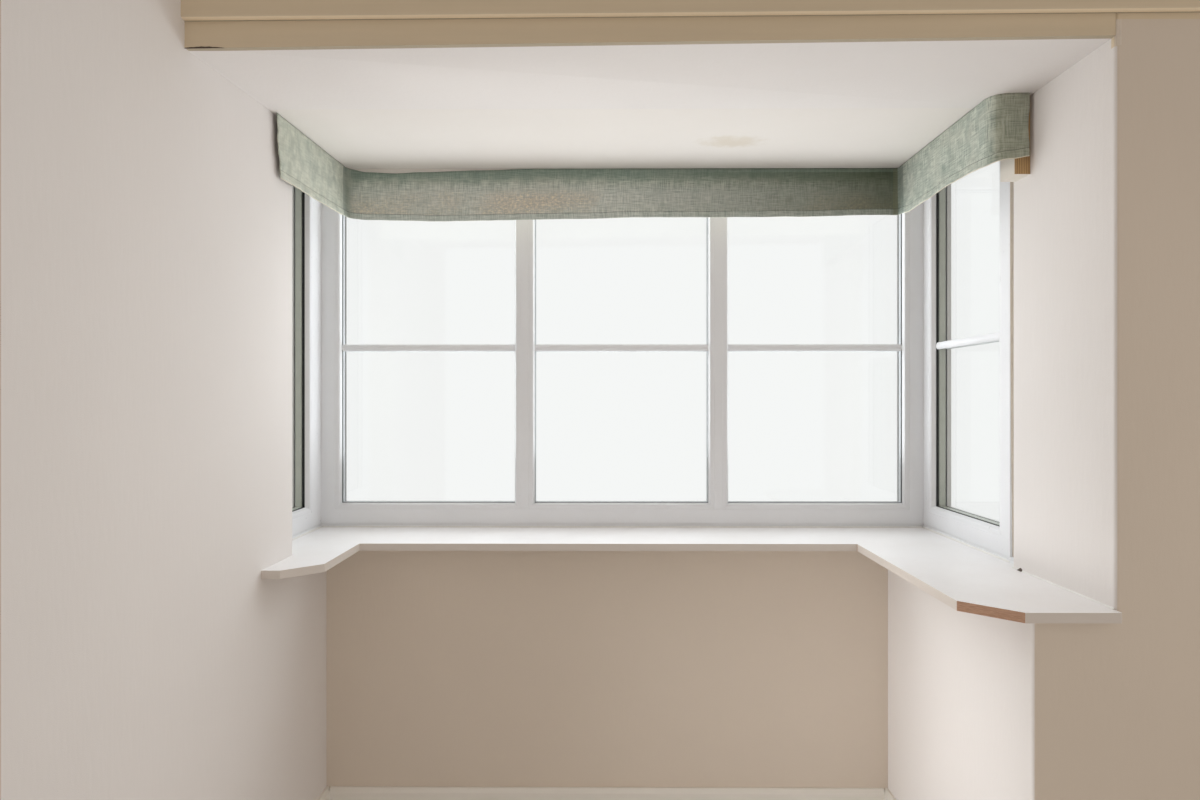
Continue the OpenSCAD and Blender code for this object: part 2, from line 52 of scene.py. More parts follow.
# Light and backdrop
BACKDROP = (0.975, 0.97, 0.97)
AMBIENT_ROOM = (1.0, 0.86, 0.72)
AMBIENT_OUT = (1.0, 0.99, 0.98)
AMBIENT_STRENGTH = 0.42
FLOOR = (0.88, 0.88, 0.88)
DAYLIGHT_WATTS = 16.2
DAYLIGHT_COLOUR = (0.93, 0.97, 1.0)
# The daylight lamp lies this deep in the glass, this far over its foot to spare the board, and this
# far in from its other edges
DAYLIGHT_DEPTH = 0.016
DAYLIGHT_LIFT = 0.16
DAYLIGHT_EDGE = 0.006

# Sizes that the frame does not give, in metres
BEAD_COVER = 0.016
GASKET_IN = 0.007
GASKET_OUT = 0.0018
GASKET_LIP = 0.0013
SPACER_SET = 0.003
SPACER_SHOW = 0.001
BAR_Z = 1.580
BAR_H = 0.024
BAR_T = 0.008


# Node helpers

class Tree:
    """A node tree, with short calls for the nodes that are used often."""

    def __init__(self, owner, output):
        owner.use_nodes = True
        self.tree = owner.node_tree
        self.tree.nodes.clear()
        self.output = self.new(output)

    def put(self, socket, value):
        """Gives an input a value, or links it where the value is another node's output."""
        if hasattr(value, "is_linked"):
            self.tree.links.new(value, socket)
        elif socket.type == "RGBA":
            socket.default_value = (*value, 1.0)
        else:
            socket.default_value = value

    def new(self, kind, *first, **named):
        """A node, with what its first inputs and others by name are given."""
        node = self.tree.nodes.new("ShaderNode" + kind)
        for socket, value in zip(node.inputs, first):
            self.put(socket, value)
        for key, value in named.items():
            self.put(node.inputs[key.replace("_", " ")], value)
        return node

    def math(self, operation, a, b=0.0, clamp=False):
        node = self.new("Math", a, b)
        node.operation = operation
        node.use_clamp = clamp
        return node.outputs[0]

    def times(self, a, b):
        return self.math("MULTIPLY", a, b)

    def plus(self, a, b):
        return self.math("ADD", a, b)

    def above(self, a, b):
        return self.math("GREATER_THAN", a, b)

    def below(self, a, b):
        return self.math("LESS_THAN", a, b)

    def span(self, value, low, high, to_low=0.0, to_high=1.0, smooth=False):
        node = self.new("MapRange", Value=value, From_Min=low, From_Max=high)
        self.put(node.inputs["To Min"], to_low)
        self.put(node.inputs["To Max"], to_high)
        node.interpolation_type = "SMOOTHSTEP" if smooth else "LINEAR"
        return node.outputs["Result"]

    def mix(self, factor, a, b, vector=False):
        node = self.new("Mix", factor)
        node.data_type = "VECTOR" if vector else "RGBA"
        kind = 1 if vector else 2
        self.put(node.inputs[2 * kind + 2], a)
        self.put(node.inputs[2 * kind + 3], b)
        return node.outputs[kind]

    def end_with(self, share, a, b):
        """Ends the tree with a mix of two shaders."""
        both = self.new("MixShader", share, a.outputs[0], b.outputs[0])
        self.put(self.output.inputs[0], both.outputs[0])


class Nodes(Tree):
    """One material's node tree, with its shader and the place on the object."""

    def __init__(self, name):
        self.material = bpy.data.materials.new(name)
        super().__init__(self.material, "OutputMaterial")
        self.shader = self.new("BsdfPrincipled")
        self.put(self.output.inputs[0], self.shader.outputs[0])
        self.place = self.new("TexCoord").outputs["Object"]

    def set(self, **values):
        for key, value in values.items():
            self.put(self.shader.inputs[key.replace("_", " ")], value)

    def stretch(self, scale, place=None):
        return self.new("Mapping", Scale=scale, Vector=place or self.place).outputs[0]

    def noise(self, scale, detail=3.0, roughness=0.5, place=None):
        node = self.new("TexNoise", Scale=scale, Detail=detail, Roughness=roughness)
        self.put(node.inputs["Vector"], place or self.place)
        return node.outputs["Fac"]

    def voronoi(self, scale):
        return self.new("TexVoronoi", Scale=scale, Vector=self.place).outputs["Distance"]

    def wave(self, scale, direction, distortion, detail, place=None):
        node = self.new("TexWave", Scale=scale, Distortion=distortion, Detail=detail)
        self.put(node.inputs["Vector"], place or self.place)
        node.bands_direction = direction
        return node.outputs["Fac"]

    def axes(self):
        """The place's x, y and z."""
        return self.new("SeparateXYZ", self.place).outputs

    def facing(self):
        """The x, y and z of the way a face looks."""
        return self.new("SeparateXYZ", self.new("NewGeometry").outputs["True Normal"]).outputs

    def bump(self, height, distance, normal=None):
        node = self.new("Bump", Height=height, Distance=distance)
        if normal is not None:
            self.put(node.inputs["Normal"], normal)
        return node.outputs[0]


def srgb(r, g, b):
    """A colour given as 0 to 255 screen values, as the shader wants it."""
    def one(c):
        c = c / 255
        return c / 12.92 if c <= 0.04045 else ((c + 0.055) / 1.055) ** 2.4
    return (one(r), one(g), one(b))


def shade(colour, k):
    return tuple(min(1.0, c * k) for c in colour)


# Materials

STAIN_AT = (0.32, -0.39)
STAIN_SIZE = (0.125, 0.070)
REVEAL_PAINT = srgb(232, 227, 224)
# Painted shade: a darker, warmer copy of the reveal paint, for what faces the room
ROOM_SHADED_PAINT = srgb(224, 212, 198)
BEAM_PAINT = srgb(222, 206, 180)
RENDER_PAINT = srgb(226, 221, 209)
RENDER_DIRT = srgb(186, 180, 163)


def indoor_paint(m, patch):
    """Emulsion, with painted shade: a darker, warmer copy on what faces the room, and a warmer cream on
    the beam and its band, with a painted highlight under the beam and a painted shadow in its joint.
    """
    x, y, z = m.axes()
    ny, nz = m.facing()[1:]
    wash = m.plus(m.times(m.noise(1.3, 2.0), 0.7), m.times(patch, 0.3))
    light_paint = m.mix(wash, shade(REVEAL_PAINT, 0.95), shade(REVEAL_PAINT, 1.03))
    room_shaded_paint = m.mix(wash, shade(ROOM_SHADED_PAINT, 0.94), shade(ROOM_SHADED_PAINT, 1.05))
    streaks = m.noise(1.0, 3.0, 0.6, place=m.stretch((1.6, 1.0, 24.0)))
    beam_colour = m.mix(m.span(streaks, 0.3, 0.7), shade(BEAM_PAINT, 0.97), shade(BEAM_PAINT, 1.04))
    # Painted highlight on the beam's underside, and a painted shadow in the joint along the band's face
    under = m.below(nz, -0.5)
    joint = m.times(under, m.above(y, BAND_FACE - JOINT_SHADOW_WIDTH))
    beam_colour = m.mix(under, beam_colour, shade(BEAM_PAINT, 1.28))
    beam_colour = m.mix(joint, beam_colour, shade(BEAM_PAINT, 0.62))
    over_opening = m.times(m.above(z, BEAM_FROM), m.below(x, BAND_END))
    beamed = m.math("MAXIMUM", over_opening, m.above(z, BEAM_FOOT))
    room_shaded_paint = m.mix(beamed, room_shaded_paint, beam_colour)
    # Painted shade: what faces the room takes the darker copy of the paint
    room_facing_shade = m.span(ny, -0.80, -0.93, 0.0, 1.0, smooth=True)
    on_beam = m.times(m.above(z, BEAM_FROM), m.below(y, BAND_FACE + BAND_WRAP))
    on_beam = m.times(on_beam, m.above(x, BEAM_END + 0.001))
    return m.mix(m.math("MAXIMUM", room_facing_shade, on_beam), light_paint, room_shaded_paint)


def outdoor_render(m, patch, grit):
    """Painted render with rain streaks, darker grains and a dirty foot."""
    z = m.axes()[2]
    stain = m.noise(2.1, 3.0, 0.6, place=m.stretch((2.4, 2.4, 0.35)))
    weather = m.span(stain, 0.50, 0.85, 0.0, 0.5)
    low = m.span(z, 0.0, 0.45, 0.65, 0.0, smooth=True)
    dirt = m.math("MAXIMUM", weather, m.times(low, m.span(patch, 0.25, 0.7)))
    outside = m.mix(dirt, RENDER_PAINT, shade(RENDER_DIRT, 0.9))
    return m.mix(m.span(grit, 0.35, 0.7, 0.0, 0.22), outside, shade(RENDER_PAINT, 0.72))


def plaster_material():
    """Emulsion on plaster indoors and painted render outside, told apart by place and side."""
    m = Nodes("wall_paint")
    x, y = m.axes()[:2]
    ny = m.facing()[1]
    patch = m.noise(9.0, 3.0, 0.6)
    grit = m.noise(240.0, 2.0, 0.65)
    inside = indoor_paint(m, patch)
    outside = outdoor_render(m, patch, grit)
    sideways = m.above(m.math("ABSOLUTE", x), SIDE_FROM)
    outward = m.math("MAXIMUM", m.above(ny, 0.5), sideways)
    weathered = m.times(m.above(y, OUTSIDE_FROM), outward)
    m.set(Base_Color=m.mix(weathered, inside, outside))
    m.set(Roughness=m.span(patch, 0.2, 0.8, 0.62, 0.80), Specular_IOR_Level=0.35)
    roller = m.noise(650.0, 1.0, 0.55)
    brush = m.noise(90.0, 1.0, 0.5, place=m.stretch((1.0, 1.0, 0.25)))
    trowel = m.noise(5.5, 1.0, 0.45)
    inner = m.bump(trowel, 0.0035)
    inner = m.bump(brush, 0.0003, inner)
    inner = m.bump(roller, 0.00022, inner)
    outer = m.bump(grit, 0.0016)
    outer = m.bump(m.voronoi(420.0), 0.0012, outer)
    m.set(Normal=m.mix(weathered, inner, outer, vector=True))
    return m.material


def ceiling_material():
    """White emulsion with a faint brown water stain."""
    m = Nodes("ceiling_paint")
    x, y, z = m.axes()
    base = m.mix(m.noise(1.7, 3.0), srgb(229, 223, 217), srgb(237, 232, 227))
    across = m.math("DIVIDE", m.math("SUBTRACT", x, STAIN_AT[0]), STAIN_SIZE[0])
    along = m.math("DIVIDE", m.math("SUBTRACT", y, STAIN_AT[1]), STAIN_SIZE[1])
    far = m.plus(m.times(across, across), m.times(along, along))
    far = m.plus(far, m.times(m.noise(22.0, 4.0, 0.6), 1.6))
    stain = m.times(m.span(far, 1.7, 0.7, 0.0, 0.45, smooth=True), m.below(z, CEILING_Z + 0.007))
    base = m.mix(stain, base, srgb(206, 192, 168))
    m.set(Base_Color=base)
    m.set(Roughness=m.span(m.noise(40.0, 3.0), 0.2, 0.8, 0.70, 0.85))
    normal = m.bump(m.noise(4.5, 2.0), 0.003)
    m.set(Normal=m.bump(m.noise(600.0, 1.0), 0.0002, normal))
    return m.material


def plastic_material(name, colour, roughness, grime):
    """Extruded window plastic: nearly even, a soft shine, faint dust and rub marks."""
    m = Nodes(name)
    cloud = m.noise(6.0, 4.0, 0.6)
    dust = m.noise(60.0, 5.0, 0.7)
    base = m.mix(m.span(cloud, 0.3, 0.75), colour, shade(colour, 0.965))
    base = m.mix(m.span(dust, 0.58, 0.85, 0.0, grime), base, srgb(196, 192, 182))
    m.set(Base_Color=base)
    m.set(Roughness=m.span(dust, 0.2, 0.85, roughness, roughness + 0.16))
    normal = m.bump(m.noise(14.0, 1.0), 0.0006)
    m.set(Normal=m.bump(m.noise(900.0, 1.0), 0.00003, normal))
    return m.material


def board_material():
    """White laminated window board, its sides painted a darker shade than its top. The edge of its
    right clipped corner is bare and brown.
    """
    m = Nodes("board_laminate")
    nx, ny, nz = m.facing()
    cloud = m.noise(5.0, 4.0, 0.6)
    dust = m.noise(70.0, 5.0, 0.7)
    top = m.mix(m.span(cloud, 0.3, 0.75), srgb(246, 245, 246), srgb(240, 238, 238))
    # Painted shade: the board's sides take a darker, warmer copy of the top's white
    edge = m.mix(cloud, srgb(214, 205, 197), srgb(222, 214, 207))
    grain = m.noise(1.0, 3.0, 0.6, place=m.stretch((60.0, 60.0, 700.0)))
    bare = m.mix(m.span(grain, 0.35, 0.65), srgb(196, 158, 132), srgb(170, 130, 104))
    clip = m.times(m.below(nx, -0.5), m.below(ny, -0.5))
    edge = m.mix(clip, edge, bare)
    base = m.mix(m.span(nz, 0.35, 0.75, smooth=True), edge, top)
    base = m.mix(m.span(dust, 0.6, 0.85, 0.0, 0.20), base, srgb(205, 198, 186))
    m.set(Base_Color=base)
    m.set(Roughness=m.span(dust, 0.2, 0.85, 0.30, 0.48))
    m.set(Normal=m.bump(m.noise(700.0, 2.0), 0.00006))
    return m.material


def painted_wood_material():
    m = Nodes("painted_wood")
    brush = m.noise(30.0, 4.0, 0.6, place=m.stretch((0.15, 0.15, 3.0)))
    m.set(Base_Color=m.mix(brush, srgb(232, 228, 220), srgb(240, 236, 229)))
    m.set(Roughness=m.span(brush, 0.2, 0.8, 0.28, 0.42))
    m.set(Normal=m.bump(brush, 0.0004))
    return m.material


def block_material():
    """A softwood block painted white but for its sawn end towards the room."""
    m = Nodes("block_wood")
    ny = m.facing()[1]
    rings = m.wave(70.0, "X", 2.5, 2.0, place=m.stretch((1.0, 1.0, 0.08)))
    pores = m.noise(500.0, 3.0, 0.6)
    grain = m.plus(m.times(rings, 0.7), m.times(pores, 0.3))
    wood = m.mix(m.span(grain, 0.2, 0.85), srgb(206, 172, 122), srgb(146, 108, 66))
    white = m.mix(pores, srgb(226, 219, 208), srgb(236, 230, 221))
    m.set(Base_Color=m.mix(m.span(ny, -0.55, -0.7), white, wood))
    m.set(Roughness=m.span(pores, 0.3, 0.7, 0.55, 0.80))
    m.set(Normal=m.bump(grain, 0.0005))
    return m.material


def roof_timber_material():
    """Sawn softwood with growth rings, cut along x."""
    m = Nodes("roof_timber")
    place = m.stretch((0.05, 1, 1))
    rings = m.wave(95.0, "X", 3.0, 2.0, place=place)
    pores = m.noise(420.0, 3.0, 0.6, place=place)
    grain = m.plus(m.times(rings, 0.75), m.times(pores, 0.25))
    m.set(Base_Color=m.mix(m.span(grain, 0.2, 0.9), srgb(190, 164, 122), srgb(150, 120, 82)))
    m.set(Roughness=m.span(pores, 0.3, 0.7, 0.62, 0.80))
    m.set(Normal=m.bump(grain, 0.0005))
    return m.material


def glass_material():
    """Clear glass that lamps shine through: see-through, with a mirror share that grows at a slant."""
    m = Nodes("clear_glass")
    m.tree.nodes.remove(m.shader)
    clear = m.new("BsdfTransparent", (0.97, 0.98, 0.975))
    mirror = m.new("BsdfGlossy", Color=(0.9, 0.93, 0.92), Roughness=0.02)
    slant = m.new("LayerWeight", Blend=0.5)
    share = m.math("POWER", slant.outputs["Facing"], 5.0)
    m.end_with(m.plus(m.times(share, 0.45), 0.035), clear, mirror)
    return m.material


def rubber_material():
    m = Nodes("black_gasket")
    fine = m.noise(300.0, 3.0)
    m.set(Base_Color=m.mix(fine, srgb(12, 13, 14), srgb(24, 25, 27)))
    m.set(Roughness=m.span(fine, 0.2, 0.8, 0.45, 0.65))
    m.set(Normal=m.bump(fine, 0.0001))
    return m.material


def spacer_material(name, pale, dark, metallic):
    """The bar between the panes, which mirrors what stands outside."""
    m = Nodes(name)
    streak = m.noise(32.0, 3.0)
    m.set(Base_Color=m.mix(streak, pale, dark), Metallic=metallic)
    m.set(Roughness=m.span(streak, 0.2, 0.8, 0.28, 0.42))
    m.set(Normal=m.bump(streak, 0.0001))
    return m.material


LINEN_DARK = srgb(138, 150, 140)
LINEN_PALE = srgb(208, 214, 201)
LINEN_WARM = srgb(216, 210, 194)
# A shaded teal: the colour of the painted shade at the cloth's top and in the front run's corner
# creases
LINEN_SHADE_TEAL = srgb(118, 140, 129)
LINEN_CREAM = srgb(228, 222, 204)


def threads(m, flat, across, up, detail=2.0, roughness=0.6):
    """Noise stretched across the cloth or up it, where flat is the place on it."""
    return m.noise(1.0, detail, roughness, place=m.stretch((across, 1.0, up), flat))


def linen_front(m, base, flat, thread, down, hem):
    """The front run, with painted light and shade: shaded teal at its top, paler and a gold glow of
    daylight low down but no glow on hems, darker to the right.
    """
    x = m.axes()[0]
    ny = m.facing()[1]
    front = m.span(m.math("ABSOLUTE", ny), 0.55, 0.90, smooth=True)
    middle = m.times(front, m.below(m.math("ABSOLUTE", x), CLOTH_CORNER))
    # Painted light: the front run is paler low down, where light from below falls on it
    pale = m.mix(m.span(thread, 0.41, 0.58), srgb(176, 186, 180), srgb(226, 230, 226))
    base = m.mix(m.times(middle, m.span(down, 0.030, 0.075, 0.0, 0.65)), base, pale)
    if not hem:
        # Painted light: a gold glow, with bright flecks, where daylight shines through the cloth low
        # down
        glow_patch = m.span(m.noise(3.6, 2.0), 0.42, 0.60, 0.15, 1.0)
        low = m.times(m.span(down, 0.045, 0.100, smooth=True), glow_patch)
        glow_fleck = threads(m, flat, 95.0, 150.0, 3.0, 0.65)
        backlit_glow = m.mix(m.span(glow_fleck, 0.40, 0.56), srgb(182, 176, 166), srgb(222, 206, 184))
        backlit_glow = m.mix(m.span(glow_fleck, 0.57, 0.64), backlit_glow, srgb(252, 234, 200))
        base = m.mix(m.times(middle, m.times(low, 0.66)), base, backlit_glow)
    # Painted shade: a darker teal at the top of the front run
    top_shade = m.span(down, 0.048, 0.010, 0.0, 0.66, smooth=True)
    base = m.mix(m.times(middle, top_shade), base, LINEN_SHADE_TEAL)
    # Painted shade: the front run darkens towards the right, where less daylight comes through
    right_shade = m.span(x, 0.0, 0.86, 0.0, 0.50 if hem else 0.78)
    return m.mix(m.times(middle, right_shade), base, srgb(66, 72, 46))


def linen_right_end(m, base, down):
    """The short piece that faces the room at the right end, painted a darker shade, with a stitched
    lower part.
    """
    x = m.axes()[0]
    ny = m.facing()[1]
    end = m.times(m.above(x, CLOTH_CORNER - 0.02), m.span(ny, -0.5, -0.8))
    stitch = m.span(m.wave(55.0, "Z", 0.6, 1.0), 0.55, 0.9, 0.0, 0.45)
    stitch = m.times(stitch, m.span(down, 0.085, 0.070))
    # Painted shade: the end piece takes a darker copy of the cloth; the darker stripes are its stitches
    shaded_end_cloth = m.mix(stitch, srgb(132, 130, 102), srgb(84, 84, 62))
    return m.mix(m.times(end, 0.42), base, shaded_end_cloth)


def linen_material(name, hem, seam_shade=0.0):
    """Sage linen with slubs both ways, with painted light: paler on the left run and low on the front
    run where daylight glows through, and painted shade in creases and the seam's fold.
    """
    m = Nodes(name)
    x, y, z = m.axes()
    flat = m.new("CombineXYZ", m.plus(x, y), 0.0, z).outputs[0]
    warp, weft = threads(m, flat, 330.0, 22.0), threads(m, flat, 22.0, 330.0)
    thread = m.plus(m.times(warp, 0.42), m.times(weft, 0.42))
    thread = m.plus(thread, m.times(threads(m, flat, 800.0, 800.0), 0.16))
    slub = threads(m, flat, 9.0, 150.0, roughness=0.5)
    cloud = m.noise(11.0, 4.0, 0.6)
    patch = m.noise(26.0, 3.0, 0.55)
    base = m.mix(m.span(thread, 0.41, 0.57), LINEN_DARK, LINEN_PALE)
    # Painted light: the left run is paler where daylight glows through the cloth
    left_run_glow = m.below(x, -CLOTH_CORNER + 0.02)
    base = m.mix(m.times(left_run_glow, 0.42), base, srgb(224, 224, 208))
    base = m.mix(m.span(slub, 0.52, 0.70, 0.0, 0.40), base, LINEN_PALE)
    base = m.mix(m.span(patch, 0.42, 0.66, 0.0, 0.45), base, shade(LINEN_DARK, 1.05))
    base = m.mix(m.span(cloud, 0.45, 0.70, 0.0, 0.22), base, LINEN_WARM)
    down = m.math("SUBTRACT", CEILING_Z, m.plus(z, m.times(patch, 0.018)))
    base = linen_front(m, base, flat, thread, down, hem)
    # Painted shade in the creases at the front run's corners
    from_corner = m.math("ABSOLUTE", m.math("SUBTRACT", m.math("ABSOLUTE", x), CLOTH_CORNER))
    corner = m.times(m.span(from_corner, 0.030, 0.004), m.above(y, CLOTH_FRONT - 0.05))
    base = m.mix(m.times(corner, 0.55), base, shade(LINEN_SHADE_TEAL, 0.7))
    base = linen_right_end(m, base, down)
    # Painted shade: the seam's fold takes a darker copy of the cloth
    base = m.mix(seam_shade, base, srgb(52, 58, 50))
    m.set(Base_Color=base, Roughness=0.92, Specular_IOR_Level=0.2)
    m.set(Sheen_Weight=0.2, Sheen_Roughness=0.5)
    m.set(Normal=m.bump(thread, 0.0009))
    return m.material


def lining_material(name, k):
    """Cotton on the back of the pelmet, cream at its edge and painted a darker shade over the rest."""
    m = Nodes(name)
    weft = m.noise(1.0, 2.0, 0.6, place=m.stretch((40.0, 40.0, 700.0)))
    cotton = m.mix(m.span(weft, 0.35, 0.65), shade(LINEN_CREAM, k), shade(LINEN_CREAM, 0.86 * k))
    m.set(Base_Color=cotton, Roughness=0.9)
    m.set(Normal=m.bump(weft, 0.0004))
    return m.material


def felt_material():
    """Grey mineral roofing sheet."""
    m = Nodes("mineral_felt")
    chips = m.voronoi(520.0)
    cloud = m.noise(3.0, 5.0, 0.6)
    fine = m.noise(380.0, 3.0)
    base = m.mix(m.span(fine, 0.3, 0.7), srgb(72, 76, 78), srgb(112, 116, 116))
    base = m.mix(m.span(cloud, 0.45, 0.8, 0.0, 0.5), base, srgb(96, 98, 86))
    m.set(Base_Color=base, Roughness=0.92)
    m.set(Normal=m.bump(chips, 0.0012))
    return m.material


def lead_material():
    m = Nodes("lead_sheet")
    cloud = m.noise(9.0, 5.0, 0.65)
    streak = m.noise(30.0, 4.0, 0.6, place=m.stretch((2.0, 0.4, 0.4)))
    base = m.mix(m.span(cloud, 0.3, 0.75), srgb(112, 117, 122), srgb(146, 150, 152))
    base = m.mix(m.span(streak, 0.55, 0.8, 0.0, 0.5), base, srgb(176, 178, 174))
    m.set(Base_Color=base, Metallic=0.35)
    m.set(Roughness=m.span(cloud, 0.2, 0.8, 0.48, 0.68))
    m.set(Normal=m.bump(m.noise(22.0, 3.0), 0.002))
    return m.material


def sealant_material(name, colour):
    m = Nodes(name)
    fine = m.noise(120.0, 3.0)
    m.set(Base_Color=m.mix(fine, colour, shade(colour, 0.85)))
    m.set(Roughness=m.span(fine, 0.2, 0.8, 0.4, 0.6))
    m.set(Normal=m.bump(fine, 0.0004))
    return m.material


# Lines that the wall paints and the cloth's shades go by, and how far the beam's paint and the painted
# shadow of its joint reach past them
OUTSIDE_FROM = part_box("left_cheek_wall")[0].y - 0.001
SIDE_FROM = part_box("right_jambs")[1].x
BAND_WRAP = 0.015
JOINT_SHADOW_WIDTH = 0.0045
BEAM_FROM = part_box("header_band")[0].z
BEAM_END, BAND_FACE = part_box("header_band")[0].xy
BAND_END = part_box("header_band")[1].x + 0.0005
BEAM_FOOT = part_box("header_beam")[0].z - 0.0005
CEILING_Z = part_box("bay_ceiling")[0].z
CLOTH_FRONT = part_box("pelmet")[1].y
CLOTH_CORNER = max(v.co.x for v in nodes["pelmet"].data.vertices if v.co.y > CLOTH_FRONT - 0.05)

paint = plaster_material()
ceiling = ceiling_material()
plastic = plastic_material("window_plastic", srgb(236, 237, 240), 0.24, 0.10)
sill_plastic = plastic_material("sill_plastic", srgb(232, 233, 235), 0.28, 0.35)
board = board_material()
skirting_paint = painted_wood_material()
block_timber = block_material()
roof_timber = roof_timber_material()
glass = glass_material()
rubber = rubber_material()
front_spacer = spacer_material("bright_spacer", srgb(222, 226, 230), srgb(206, 210, 214), 0.4)
# Painted shade and painted green reflection: the side lights' spacer is a greyer, greener copy of the
# front's
shaded_side_spacer = spacer_material("shaded_grey_spacer", srgb(208, 212, 205), srgb(190, 196, 188), 0.1)
linen = linen_material("sage_linen", False)
hem_linen = linen_material("sage_linen_hem", True)
seam_shade_linen = linen_material("sage_linen_seam_shade", True, 0.50)
lining_edge = lining_material("cream_lining", 1.0)
# Painted shade: a darker copy of the lining for all but its edge
lining = lining_material("shaded_lining", 0.62)
felt = felt_material()
lead = lead_material()
sealant = sealant_material("white_sealant", srgb(238, 236, 232))
# Painted shade: the filler takes the shaded copy of the paint used on what faces the room
wall_filler = sealant_material("wall_filler", ROOM_SHADED_PAINT)
# Painted shade: a dark brown that stands for the shade in a hole and an open joint
gap_shadow = sealant_material("gap_shadow", srgb(78, 62, 50))

# Each material, and the words that the names of its nodes end in
NODE_LOOKS = {
    paint: "wall band beam",
    ceiling: "ceiling battens",
    roof_timber: "deck",
    felt: "covering",
    lead: "flashing",
    board: "board",
    sill_plastic: "sill fascia",
    plastic: "post strip rail rails jambs mullions beads",
    glass: "glass",
    skirting_paint: "skirting",
    block_timber: "block",
}
for material, endings in NODE_LOOKS.items():
    for name, node in nodes.items():
        if name.split("_")[-1] in endings.split():
            node.data.materials.clear()
            node.data.materials.append(material)


# Mesh helpers

def add_piece(name, verts, faces, material, slot, smooth=False):
    """A closed mesh that rides on the part's one body."""
    mesh = bpy.data.meshes.new(name)
    mesh.from_pydata(verts, [], faces)
    bm = bmesh.new()
    bm.from_mesh(mesh)
    bmesh.ops.recalc_face_normals(bm, faces=bm.faces)
    bm.to_mesh(mesh)
    bm.free()
    for face in mesh.polygons:
        face.use_smooth = smooth
    mesh.materials.append(material)
    obj = bpy.data.objects.new(name, mesh)
    bpy.context.scene.collection.objects.link(obj)
    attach(obj, "root")
    return obj


def join_parts(parts):
    """One list of corners and faces from several."""
    verts, faces = [], []
    for more_verts, more_faces in parts:
        start = len(verts)
        verts += more_verts
        faces += [[start + i for i in face] for face in more_faces]
    return verts, faces


def ring(u0, z0, u1, z1, section, place):
    """A mitred frame round a rectangle. The section's points are (inward, outward) offsets."""
    verts = []
    for u, z, su, sz in ((u0, z0, 1, 1), (u1, z0, -1, 1), (u1, z1, -1, -1), (u0, z1, 1, -1)):
        verts += [place(u + su * a, b, z + sz * a) for a, b in section]
    n = len(section)
    faces = []
    for corner in range(4):
        here, after = corner * n, (corner + 1) % 4 * n
        for i in range(n):
            j = (i + 1) % n
            faces.append([here + i, here + j, after + j, after + i])
    return verts, faces


def extrusion(section, start, end, place):
    """A section of (across, outward) points drawn along u from start to end."""
    verts = [place(start, b, a) for a, b in section] + [place(end, b, a) for a, b in section]
    n = len(section)
    faces = [[i, (i + 1) % n, n + (i + 1) % n, n + i] for i in range(n)]
    faces += [list(range(n))[::-1], list(range(n, 2 * n))]
    return verts, faces


def loft(sections):
    """A solid through a row of outlines that have the same number of points."""
    n = len(sections[0])
    verts = [point for section in sections for point in section]
    faces = []
    for k in range(len(sections) - 1):
        for i in range(n):
            j = (i + 1) % n
            faces.append([k * n + i, k * n + j, (k + 1) * n + j, (k + 1) * n + i])
    last = (len(sections) - 1) * n
    faces += [list(range(n)), list(range(last, last + n))]
    return verts, faces


def prism(outline, start, end, axis):
    """An outline in two axes, drawn along the third."""
    spot = "XYZ".index(axis)
    return loft([[(*p[:spot], t, *p[spot:]) for p in outline] for t in (start, end)])


def mirrored(part):
    """The same shape on the other side of the window's middle."""
    verts, faces = part
    return [(-x, y, z) for x, y, z in verts], faces


# Windows: where each light's glass lies, and which way is along and out

class Light:
    """One light: u runs along the window, v runs outwards from the glass's room face."""

    def __init__(self, node, side):
        self.node, self.side = node, side
        lo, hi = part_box(node)
        self.z0, self.z1 = lo.z + BEAD_COVER, hi.z - BEAD_COVER
        if side == "front":
            self.u0, self.u1, self.face, self.depth = lo.x, hi.x, lo.y, hi.y - lo.y
        else:
            self.u0, self.u1, self.depth = lo.y, hi.y, hi.x - lo.x
            self.face = hi.x if side == "left" else lo.x
        self.u0 += BEAD_COVER
        self.u1 -= BEAD_COVER

    def place(self, u, v, z):
        if self.side == "front":
            return (u, self.face + v, z)
        if self.side == "left":
            return (self.face - v, u, z)
        return (self.face + v, u, z)


LIGHTS = [Light(f"front_{spot}_glass", "front") for spot in ("left", "middle", "right")]
LIGHTS += [Light(f"{side}_glass", side) for side in ("left", "right")]


def gaskets(light):
    """Black rubber between bead and glass, and a slighter line of it outside."""
    def lip(depth):
        return [(-0.0006, -depth), (GASKET_LIP * 0.4, -depth), (GASKET_LIP * 0.8, -depth * 0.4),
                (GASKET_LIP, 0.0), (-0.0006, 0.0)]
    outer = [(a, light.depth - b) for a, b in lip(GASKET_OUT)]
    box = (light.u0, light.z0, light.u1, light.z1)
    return join_parts([ring(*box, lip(GASKET_IN), light.place), ring(*box, outer, light.place)])


def spacer_frame(light):
    """The metal bar that parts the two panes, seen just inside the sight line."""
    a, b, s = SPACER_SET, light.depth - SPACER_SET, SPACER_SHOW
    section = [(-0.006, a), (s - 0.0006, a), (s, a + 0.001), (s, b - 0.001), (s - 0.0006, b),
               (-0.006, b)]
    return ring(light.u0, light.z0, light.u1, light.z1, section, light.place)


def glazing_bar(light):
    """A flat bar with a raised middle on each face of the glass."""
    h, t = BAR_H / 2, BAR_T
    half = [(-h, 0.0), (-h, -t * 0.45), (-h * 0.62, -t * 0.8), (-h * 0.25, -t), (h * 0.25, -t),
            (h * 0.62, -t * 0.8), (h, -t * 0.45), (h, 0.0)]
    inner = [(BAR_Z + a, b) for a, b in half]
    outer = [(BAR_Z + a, light.depth - b) for a, b in half]
    return join_parts([
        extrusion(inner, light.u0, light.u1, light.place),
        extrusion(outer, light.u0, light.u1, light.place),
    ])


